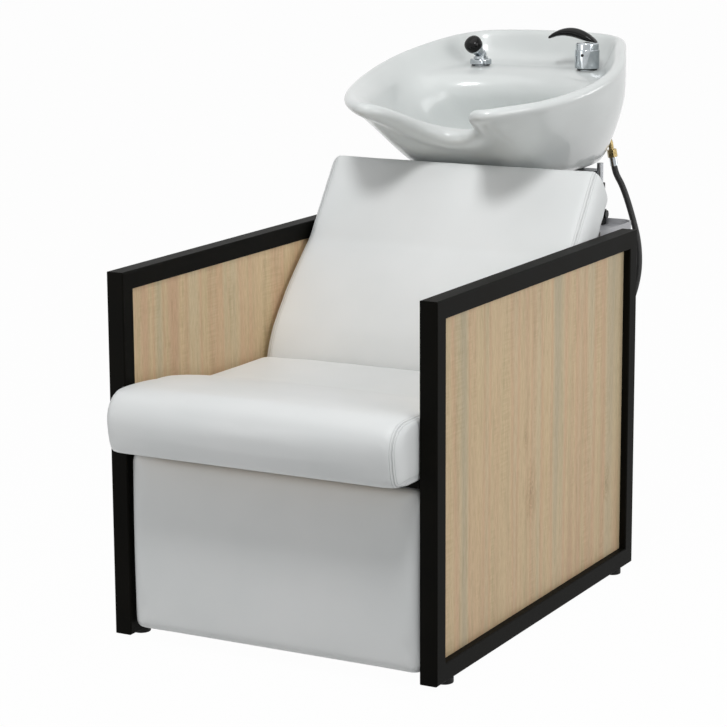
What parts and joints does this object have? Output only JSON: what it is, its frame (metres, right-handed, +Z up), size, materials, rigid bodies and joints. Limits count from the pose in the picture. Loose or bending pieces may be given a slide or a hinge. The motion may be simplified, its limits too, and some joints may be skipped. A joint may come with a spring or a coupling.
{
  "type": "salon backwash unit",
  "caption": "Free-standing salon backwash unit: padded seat and reclined back between panelled tube sides, tilting ceramic basin with neck notch, lever mixer and pull-out hand shower.",
  "frame": {"origin": "middle of the overall footprint at floor level, hose loop left out", "axes": "+X to the sitter's left (the mixer's side), +Y from the seat front to the basin rear, +Z up"},
  "size_m": [0.62, 1.1933, 0.9873],
  "materials": {
    "frame_black": "satin black powder coat",
    "oak_board": "oak-look laminate, vertical grain",
    "plywood": "raw plywood",
    "upholstery": "white coated upholstery fabric over foam",
    "foot_plastic": "black moulded plastic",
    "shelf_grey": "light grey satin paint",
    "zinc_steel": "zinc-plated steel",
    "black_steel": "black fasteners",
    "ceramic": "white gloss glaze",
    "rubber": "black rubber",
    "hose_rubber": "black braided hose",
    "chrome": "polished chrome",
    "brass": "brass",
    "gloss_black": "black gloss"
  },
  "bodies": {
    "chair_frame": {"left_top_rail": "frame_black", "left_bottom_rail": "frame_black", "left_front_post": "frame_black", "left_rear_post": "frame_black", "right_top_rail": "frame_black", "right_bottom_rail": "frame_black", "right_front_post": "frame_black", "right_rear_post": "frame_black", "front_cross_rail": "frame_black", "rear_middle_rail": "frame_black", "rear_lower_rail": "frame_black", "rear_upper_rail": "frame_black", "left_seat_rail": "frame_black", "right_seat_rail": "frame_black", "seat_middle_rail": "frame_black", "backrest_rail": "frame_black", "left_backrest_stay": "frame_black", "right_backrest_stay": "frame_black", "stand_gussets": "frame_black", "left_panel": "oak_board", "right_panel": "oak_board", "seat_board": "plywood", "backrest_board": "plywood", "front_panel_board": "plywood", "seat_cushion": "upholstery", "backrest_cushion": "upholstery", "front_panel_pad": "upholstery", "stand_shelf": "shelf_grey", "pivot_brackets": "black_steel", "pivot_bolts": "black_steel"},
    "basin_unit": {"basin": "ceramic", "basin_cradle": "zinc_steel", "cradle_pad": "rubber", "left_upright": "zinc_steel", "right_upright": "zinc_steel", "upright_clamps": "black_steel", "waste_flange": "chrome", "waste_washer": "rubber", "waste_nut": "brass", "deck_washers": "rubber", "mixer_body": "chrome", "mixer_nut": "brass", "supply_tails": "brass", "mixer_dot": "gloss_black", "hose_outlet": "brass", "hose_nut": "brass", "hose_ferrule": "chrome", "hose": "hose_rubber", "holder": "chrome", "holder_nut": "brass"},
    "mixer_cap": {"mixer_cap": "chrome"},
    "mixer_lever": {"lever": "gloss_black"},
    "hand_shower": {"handset": "chrome", "spray_head": "gloss_black", "handset_tail": "hose_rubber"},
    "strainer": {"waste_strainer": "chrome"},
    "left_front_foot": {"left_front_foot": "foot_plastic"},
    "left_rear_foot": {"left_rear_foot": "foot_plastic"},
    "right_front_foot": {"right_front_foot": "foot_plastic"},
    "right_rear_foot": {"right_rear_foot": "foot_plastic"}
  },
  "joints": [
    {"name": "basin_tilt", "type": "hinge", "parent": "chair_frame", "child": "basin_unit", "pos_m": [0, 0.41752, 0.645], "axis": [-1, 0, 0], "range_deg": [0, 12]},
    {"name": "mixer_turn", "type": "hinge", "parent": "basin_unit", "child": "mixer_cap", "pos_m": [0.122, 0.48752, 0.948], "axis": [0, 0, 1], "range_deg": [-45, 45]},
    {"name": "lever_lift", "type": "hinge", "parent": "mixer_cap", "child": "mixer_lever", "pos_m": [0.122, 0.48752, 0.955], "axis": [0, 1, 0], "range_deg": [0, 15]},
    {"name": "hand_shower_lift", "type": "slide", "parent": "basin_unit", "child": "hand_shower", "axis": [0, 0, 1], "range_m": [0, 0.1]},
    {"name": "strainer_lift", "type": "slide", "parent": "basin_unit", "child": "strainer", "axis": [0, 0, 1], "range_m": [0, 0.06]},
    {"name": "left_front_foot_level", "type": "slide", "parent": "chair_frame", "child": "left_front_foot", "axis": [0, 0, -1], "range_m": [0, 0.008]},
    {"name": "left_rear_foot_level", "type": "slide", "parent": "chair_frame", "child": "left_rear_foot", "axis": [0, 0, -1], "range_m": [0, 0.008]},
    {"name": "right_front_foot_level", "type": "slide", "parent": "chair_frame", "child": "right_front_foot", "axis": [0, 0, -1], "range_m": [0, 0.008]},
    {"name": "right_rear_foot_level", "type": "slide", "parent": "chair_frame", "child": "right_rear_foot", "axis": [0, 0, -1], "range_m": [0, 0.008]}
  ]
}
